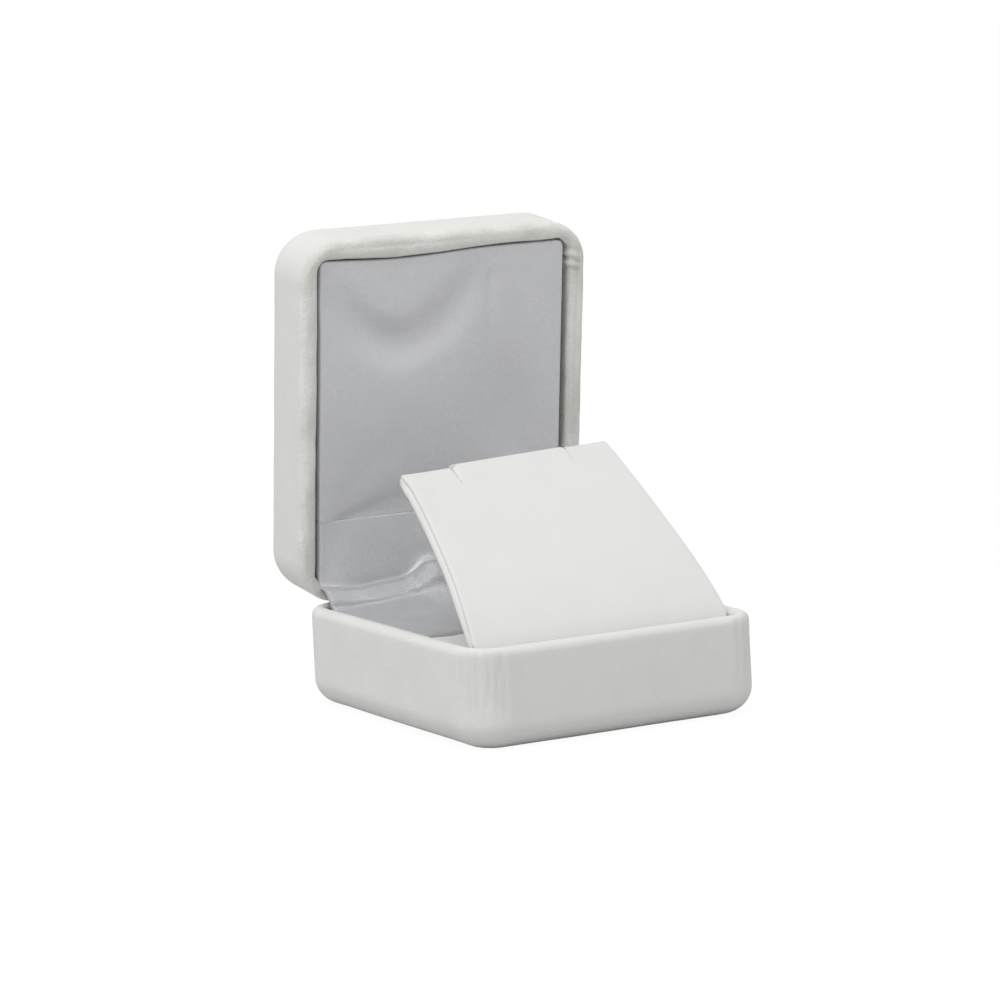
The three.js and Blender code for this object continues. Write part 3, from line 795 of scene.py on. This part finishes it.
def block_piece(name, low, high, body, material, soft, top_shape, matrix=Matrix.Identity(4), step=1.5):
    """A soft block with rounded edges. top_shape(x, y) says how far its top is lowered."""
    nx, ny = (max(int((high[i] - low[i]) / step), 4) for i in (0, 1))
    nz = max(int((high[2] - low[2]) / step), 3)
    bm = bmesh.new()
    bmesh.ops.create_grid(bm, x_segments=nx, y_segments=ny, size=0.5)
    top = list(bm.faces)
    extruded = bmesh.ops.extrude_face_region(bm, geom=top)
    for element in extruded["geom"]:
        if isinstance(element, bmesh.types.BMVert):
            element.co.z += 1.0
    bmesh.ops.subdivide_edges(
        bm, edges=[e for e in bm.edges if abs(e.verts[0].co.z - e.verts[1].co.z) > 0.5], cuts=nz - 1,
        use_grid_fill=True)
    size = [high[i] - low[i] for i in range(3)]
    for vert in bm.verts:
        x, y, z = (mix(low[0], high[0], vert.co.x + 0.5), mix(low[1], high[1], vert.co.y + 0.5),
                   mix(low[2], high[2], vert.co.z))
        cx, cy = (low[0] + high[0]) / 2, (low[1] + high[1]) / 2
        inset = soft * (1 - smooth(0, soft, high[2] - z)) if high[2] - z < soft else 0.0
        shrink_x = (size[0] / 2 - inset) / (size[0] / 2)
        shrink_y = (size[1] / 2 - inset) / (size[1] / 2)
        x, y = round_corner(x - cx, y - cy, size[0] / 2, size[1] / 2, 2.0)
        x, y = x * shrink_x + cx, y * shrink_y + cy
        if z > mix(low[2], high[2], 0.5):
            z -= top_shape(x, y) * (z - mix(low[2], high[2], 0.5)) / (size[2] / 2)
        vert.co = (matrix @ Vector((x, y, z))) * MM
    mesh = bpy.data.meshes.new(name)
    bm.to_mesh(mesh)
    bm.free()
    mesh.materials.append(material)
    mesh.polygons.foreach_set("use_smooth", [True] * len(mesh.polygons))
    obj = add_object(name, mesh)
    tidy_normals(obj)
    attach(obj, body)
    return obj


def make_wadding():
    """Wadding behind the satin. It follows the satin's folds from behind."""
    cols, rows = 46, 46
    half_x = LINER_HALF - 0.8
    front, back = LINER_FRONT + 1.7, LINER_CREASE - 0.6
    deep = wadding_high[2]
    verts, top = [], []
    for layer in (0, 1):
        for i in range(rows + 1):
            for j in range(cols + 1):
                x, v = mix(-half_x, half_x, j / cols), mix(front, back, i / rows)
                z = deep - 0.02
                if layer == 0:
                    edge = min(i, j, rows - i, cols - j)
                    z = LINER_FACE - satin_height(x, v) + 0.5 + (0.7, 0.2, 0.0)[min(edge, 2)]
                    z += 0.05 * lumps(x, v, 0, 1.5, 9.0)
                    z = min(z, deep - 0.4)
                verts.append((x, v, z))
    size = (rows + 1) * (cols + 1)
    faces = grid_faces(rows + 1, cols + 1) + grid_faces(rows + 1, cols + 1, start=size)
    rim = grid_rim(rows, cols)
    for k, (i, j) in enumerate(rim):
        m, n = rim[(k + 1) % len(rim)]
        a, b = i * (cols + 1) + j, m * (cols + 1) + n
        faces.append((a, b, b + size, a + size))
    wadding = make_object("liner_wadding", verts, faces, "lid", [FOAM], LID_OPEN)
    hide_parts("lid_liner_wadding")
    return wadding


wadding = make_wadding()
liner = make_liner()


# ------------------------------------------------------------------ gusset

def spline(points, t):
    """Catmull-Rom curve through points, t from 0 to 1."""
    n = len(points) - 1
    k = min(int(t * n), n - 1)
    f = t * n - k
    p = [points[min(max(k + i, 0), n)] for i in (-1, 0, 1, 2)]
    return tuple(
        0.5 * (2 * b + (c - a) * f + (2 * a - 5 * b + 4 * c - d) * f * f + (3 * b - a - 3 * c + d) * f ** 3)
        for a, b, c, d in zip(*p))


# The satin from the lid's crease over the hinge and down behind the pad, as x: [(y, z), ...].
# These points are given in millimetres and don't follow the CAD sizes.
GUSSET_EDGE = [(28.75, 30.4), (29.3, 25.6), (29.9, 21.4), (29.5, 19.4), (27.3, 18.9), (25.6, 17.4),
               (24.1, 15.6), (17.5, 13.6), (8.3, 12.5), (8.2, 8.2)]
GUSSET_NEAR_EDGE = [(28.75, 30.4), (28.6, 25.8), (28.6, 21.2), (28.5, 19.1), (27.3, 18.5), (25.6, 17.1),
                    (24.1, 15.6), (17.5, 13.8), (8.2, 12.8), (8.2, 8.2)]
GUSSET_SIDE = [(28.75, 30.4), (28.4, 25.8), (28.3, 20.9), (28.3, 19.0), (27.1, 18.4), (25.6, 17.0),
               (24.0, 15.6), (17.5, 14.0), (8.1, 13.0), (8.2, 8.2)]
GUSSET_MIDDLE = [(28.75, 30.4), (28.4, 25.8), (28.3, 21.2), (28.2, 19.4), (27.0, 18.8), (25.4, 17.4),
                 (23.8, 16.0), (17.5, 14.2), (8.1, 13.0), (8.2, 8.2)]
GUSSET = {
    -23.2: GUSSET_EDGE,
    -19.0: GUSSET_NEAR_EDGE,
    -15.5: GUSSET_SIDE,
    -11.0: GUSSET_MIDDLE,
    -8.0: [(28.75, 30.4), (28.4, 25.8), (28.3, 21.5), (28.1, 19.8), (26.8, 19.3), (25.0, 17.9),
           (23.5, 16.4), (17.5, 14.4), (8.1, 13.0), (8.2, 8.2)],
    -3.9: [(28.75, 30.4), (28.4, 26.0), (28.2, 23.0), (27.0, 21.9), (25.6, 21.6), (24.0, 19.8),
           (22.6, 17.6), (17.4, 14.7), (8.1, 13.0), (8.2, 8.2)],
    -0.5: [(28.75, 30.4), (28.4, 25.8), (28.3, 22.0), (27.5, 20.8), (26.0, 20.3), (24.4, 18.7),
           (22.9, 16.9), (17.4, 14.5), (8.1, 13.0), (8.2, 8.2)],
    4.0: GUSSET_MIDDLE,
    10.0: GUSSET_MIDDLE,
    15.5: GUSSET_SIDE,
    19.0: GUSSET_NEAR_EDGE,
    23.2: GUSSET_EDGE,
}


def gusset_point(x, t):
    stops = sorted(GUSSET)
    k = max(i for i, stop in enumerate(stops[:-1]) if stop <= x or i == 0)
    across = (k + (x - stops[k]) / (stops[k + 1] - stops[k])) / (len(stops) - 1)
    points = [spline([GUSSET[stop][row] for stop in stops], across) for row in range(len(GUSSET_EDGE))]
    return spline(points, t)


def make_gusset():
    half = max(GUSSET)
    # The sheet's sides are turned back; (how far out, how far back) for the last stops.
    turned = [(0.10, 2.2), (0.16, 1.3), (0.14, 0.6), (0.06, 0.15)]
    inner = [mix(-half, half, j / 120) for j in range(121)]
    across = [(-half - out, back) for out, back in turned] + [(x, 0.0) for x in inner]
    across += [(half + out, back) for out, back in reversed(turned)]
    rows = 110
    verts = []
    for i in range(rows + 1):
        t = i / rows
        free = smooth(0.22, 0.42, t) * (1 - smooth(0.84, 0.90, t))
        turn = 1 - 0.6 * smooth(0.12, 0.3, t) - 0.35 * smooth(0.8, 0.9, t)
        for x, back in across:
            y, z = gusset_point(min(max(x, -half), half), t)
            # Fine gathers run down from the ridge and fan out of the pucker.
            fan = math.atan2(x + 4.0, 26.0 - y + 1.5)
            pucker = (0.16 * math.sin(fan * 17 + 1.5 * lumps(x, y, z, 4.0, 1.2))
                      * bell(x, -4, 6) * smooth(8, 20, y))
            crease = 0.16 * lumps(x * 0.9 + 0.5 * z, z * 0.4, y * 0.25, 2.6, 3.9)
            lift = free * (pucker + crease)
            y += 0.5 * lift + back * turn
            z += 0.8 * lift - 0.3 * back * turn * smooth(0.3, 0.45, t)
            verts.append((x, y, z))
    gusset = make_object(
        "gusset_satin", verts, grid_faces(rows + 1, len(across)), None, [SATIN, SATIN_CROSSWAYS_PAINTED_SHADE])
    # The stretch on the lid has the liner's look. The rest has the satin with its twill turned and stronger,
    # in darker colours that are painted shade of the fold under the flap.
    for polygon in gusset.data.polygons:
        polygon.material_index = int(polygon.vertices[0] // len(across) > 0.33 * rows)
    solidify(gusset, 0.2, 0.0)
    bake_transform(gusset)
    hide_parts("gusset_fold", "gusset_panel")
    return gusset


gusset = make_gusset()


# ------------------------------------------------------------------ pad

def simulate_pad(obj, low):
    """Swells the pad's cloth over its filling. The sheet is simulated ten times its size."""
    scale, frames = 10.0, 20
    obj.data.transform(Matrix.Scale(scale, 4))
    rest = [v.co.copy() for v in obj.data.vertices]
    floor = low[2] * MM * scale
    held = obj.vertex_groups.new(name="held")
    held.add([v.index for v in obj.data.vertices if v.co.z < floor + 0.002 * scale], 1.0, "REPLACE")
    cloth = obj.modifiers.new("cloth", "CLOTH")
    settings = cloth.settings
    settings.quality = 6
    settings.mass = 0.2
    settings.tension_stiffness = settings.compression_stiffness = 25
    settings.bending_stiffness = 1.5
    settings.use_pressure = True
    settings.uniform_pressure_force = 4
    settings.vertex_group_mass = "held"
    settings.effector_weights.gravity = 0
    scene = bpy.context.scene
    for step in range(1, frames + 1):
        scene.frame_set(step)
    graph = bpy.context.evaluated_depsgraph_get()
    moved = [v.co.copy() for v in obj.evaluated_get(graph).data.vertices]
    obj.modifiers.clear()
    obj.vertex_groups.clear()
    cap = 0.4 * MM * scale
    for vert, start, end in zip(obj.data.vertices, rest, moved):
        shift = end - start
        if shift.length > cap:
            shift *= cap / shift.length
        vert.co = start + shift
    obj.data.transform(Matrix.Scale(1 / scale, 4))
    scene.frame_set(1)


def make_pad():
    low = [pad_low[0] + 0.3, pad_low[1] + 0.3, pad_low[2]]
    high = [pad_high[0] - 0.3, pad_high[1] + 0.3, pad_high[2] - 0.12]
    pad = block_piece("pad", low, high, "base", PAD_CLOTH, 1.1,
                      lambda x, y: 0.06 + 0.05 * lumps(x, y, 0, 8.0, 6.6), step=1.3)
    simulate_pad(pad, low)
    fine = pad.modifiers.new("fine", "SUBSURF")
    fine.levels = fine.render_levels = 1
    apply_modifiers(pad)
    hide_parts("pad_cover", "base_foam")
    return pad


pad = make_pad()


# ------------------------------------------------------------------ floor, light, camera

def soft_light(name, place, target, size, power, color=(1, 1, 1)):
    data = bpy.data.lights.new(name, "AREA")
    data.shape = "DISK"
    data.size = size
    data.energy = power
    data.color = color
    obj = add_object(name, data)
    obj.location = place
    obj.rotation_euler = (Vector(target) - Vector(place)).to_track_quat("-Z", "Y").to_euler()
    return obj


def set_stage():
    n = Nodes("stage_floor", (0.6, 0.6, 0.6), 0.95, Specular_IOR_Level=0.0)
    n.color_between(n.noise(60, 2), 0.3, 0.7, (0.59, 0.59, 0.59), (0.61, 0.61, 0.61))
    # The floor lights the box as pale grey and is seen as white, with the box's soft shadow.
    glow = n.add("ShaderNodeEmission", Strength=1.06)
    glow.inputs["Color"].default_value = (1, 1, 1, 1)
    pale = n.add("ShaderNodeMixShader")
    pale.inputs["Fac"].default_value = 0.90
    seen = n.add("ShaderNodeMixShader")
    output = n.tree.nodes["Material Output"]
    n.link(n.shader.outputs["BSDF"], pale.inputs[1])
    n.link(glow.outputs["Emission"], pale.inputs[2])
    n.link(n.add("ShaderNodeLightPath").outputs["Is Camera Ray"], seen.inputs["Fac"])
    n.link(n.shader.outputs["BSDF"], seen.inputs[1])
    n.link(pale.outputs["Shader"], seen.inputs[2])
    n.link(seen.outputs["Shader"], output.inputs["Surface"])
    mesh = bpy.data.meshes.new("stage_floor")
    half, level = 3.0, -0.0001
    mesh.from_pydata([(-half, -half, level), (half, -half, level), (half, half, level), (-half, half, level)],
                     [], [(0, 1, 2, 3)])
    mesh.materials.append(n.material)
    floor = add_object("stage_floor", mesh)

    world = bpy.data.worlds.new("studio")
    world.use_nodes = True
    bpy.context.scene.world = world
    tree = world.node_tree
    background = tree.nodes["Background"]
    background.inputs["Color"].default_value = (1, 1, 1, 1)
    background.inputs["Strength"].default_value = 0.73
    seen = tree.nodes.new("ShaderNodeBackground")
    seen.inputs["Color"].default_value = (1, 1, 1, 1)
    seen.inputs["Strength"].default_value = 1.0
    rays = tree.nodes.new("ShaderNodeLightPath")
    blend = tree.nodes.new("ShaderNodeMixShader")
    tree.links.new(rays.outputs["Is Camera Ray"], blend.inputs["Fac"])
    tree.links.new(background.outputs["Background"], blend.inputs[1])
    tree.links.new(seen.outputs["Background"], blend.inputs[2])
    tree.links.new(blend.outputs["Shader"], tree.nodes["World Output"].inputs["Surface"])

    soft_light("key_top_left", (-0.37, -0.13, 0.78), (0, 0, 0.03), 0.5, 2.85)
    # A second softbox that shows only as gloss, mostly on the satin
    gloss = soft_light("gloss_top_right", (0.40, -0.12, 0.76), (0, 0, 0.02), 0.36, 1.3)
    gloss.visible_diffuse = False
    bpy.context.scene.view_settings.view_transform = "Standard"


def set_camera():
    azimuth, elevation, roll = (math.radians(a) for a in (-28.2, 7.94, -2.62))
    back = Vector((math.sin(azimuth) * math.cos(elevation),
                   -math.cos(azimuth) * math.cos(elevation), math.sin(elevation)))
    right = Vector((math.cos(azimuth), math.sin(azimuth), 0))
    up = back.cross(right)
    x_axis = right * math.cos(roll) + up * math.sin(roll)
    y_axis = up * math.cos(roll) - right * math.sin(roll)
    aim = Vector((-0.9, 5.9, 34.2)) * MM
    data = bpy.data.cameras.new("camera")
    data.sensor_width = 36
    data.lens = 151.2
    data.clip_start = 0.01
    camera = add_object("camera", data)
    turn = Matrix((x_axis, y_axis, back)).transposed().to_4x4()
    camera.matrix_world = Matrix.Translation(aim + back * 0.6988) @ turn
    bpy.context.scene.camera = camera


set_stage()
set_camera()


# ------------------------------------------------------------------ CAD nodes that stay

for node_name, material in (
    ("base_shell", SHELL), ("lid_shell", SHELL),
    ("pad_card", CARD), ("lid_liner_card", CARD), ("flap_card", CARD),
    ("flap_hinge_strip", LEATHERETTE),
    ("hinge_base_leaf", STEEL), ("hinge_lid_leaf", STEEL), ("hinge_pin", STEEL),
    ("base_rivet_left", STEEL), ("base_rivet_right", STEEL),
    ("lid_rivet_left", STEEL), ("lid_rivet_right", STEEL),
    ("snap_spring_left", STEEL), ("snap_spring_right", STEEL),
):
    for material_slot in frame["nodes"][node_name].material_slots:
        material_slot.material = material
